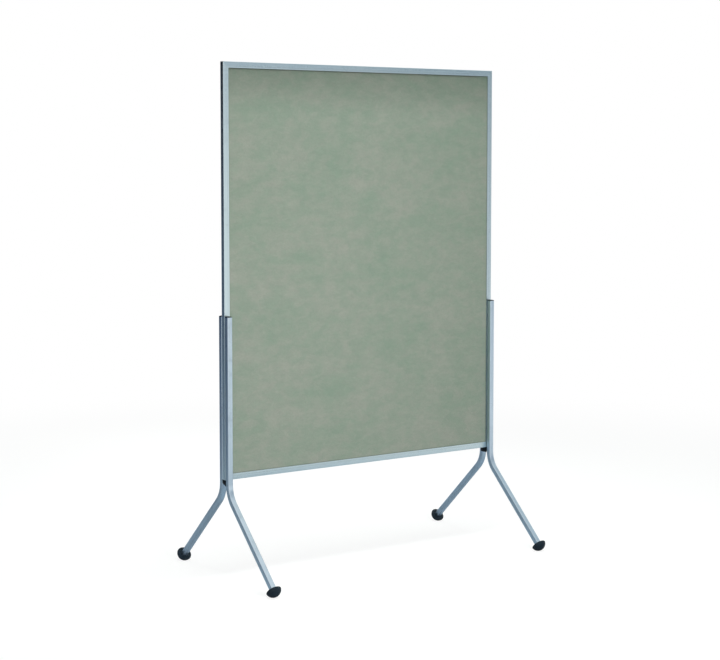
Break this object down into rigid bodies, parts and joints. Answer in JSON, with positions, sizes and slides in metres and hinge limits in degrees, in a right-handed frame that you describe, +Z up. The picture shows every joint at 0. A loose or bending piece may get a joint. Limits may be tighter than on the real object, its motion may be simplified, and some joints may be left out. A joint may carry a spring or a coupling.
{
  "type": "free-standing fabric divider panel",
  "caption": "Upright felt-covered board in a slim metal frame, standing on splayed square-tube legs with dome feet, and raised or lowered between them.",
  "frame": {"origin": "the centre of the object's footprint, on the floor under the feet", "axes": "+X along the panel from its left end to its right end as seen from the front, -Y towards the viewer at the front, +Z up"},
  "size_m": [1.256, 0.697, 1.86],
  "materials": {
    "frame_aluminium": "satin anodised extrusion with fine lines along it",
    "tube_silver": "fine silver powder coat, satin",
    "black_plastic": "moulded, fine matt grain",
    "foot_rubber": "smooth satin rubber, scuffed on the floor side",
    "felt": "needle-punched grey-green felt with a fine mottle and short nap",
    "fibre_board": "soft pressed fibre, raw",
    "key_aluminium": "raw mill finish",
    "zinc_steel": "bright zinc plate",
    "white_nylon": "natural nylon"
  },
  "bodies": {
    "left_leg_frame": {"left_front_leg": "tube_silver", "left_rear_leg": "tube_silver", "left_front_cap": "black_plastic", "left_rear_cap": "black_plastic", "left_front_foot": "foot_rubber", "left_rear_foot": "foot_rubber", "left_stop_block": "black_plastic", "left_cross_bolts": "zinc_steel", "left_rivet_nuts": "zinc_steel", "left_slide_washers": "white_nylon"},
    "panel": {"top_rail": "frame_aluminium", "bottom_rail": "frame_aluminium", "left_side_rail": "frame_aluminium", "right_side_rail": "frame_aluminium", "corner_key_top_left": "key_aluminium", "corner_key_top_right": "key_aluminium", "corner_key_bottom_left": "key_aluminium", "corner_key_bottom_right": "key_aluminium", "corner_screws": "zinc_steel", "core_board": "fibre_board", "front_felt": "felt", "rear_felt": "felt"},
    "right_leg_frame": {"right_front_leg": "tube_silver", "right_rear_leg": "tube_silver", "right_front_cap": "black_plastic", "right_rear_cap": "black_plastic", "right_front_foot": "foot_rubber", "right_rear_foot": "foot_rubber", "right_stop_block": "black_plastic", "right_cross_bolts": "zinc_steel", "right_rivet_nuts": "zinc_steel", "right_slide_washers": "white_nylon"}
  },
  "joints": [
    {"name": "panel_lift", "type": "slide", "parent": "left_leg_frame", "child": "panel", "axis": [0, 0, 1], "range_m": [0, 0.15]},
    {"name": "right_leg_slide", "type": "slide", "parent": "panel", "child": "right_leg_frame", "axis": [0, 0, -1], "range_m": [0, 0.15]}
  ],
  "couplings": [
    {"joint": "right_leg_slide", "follows": "panel_lift", "ratio": 1}
  ]
}
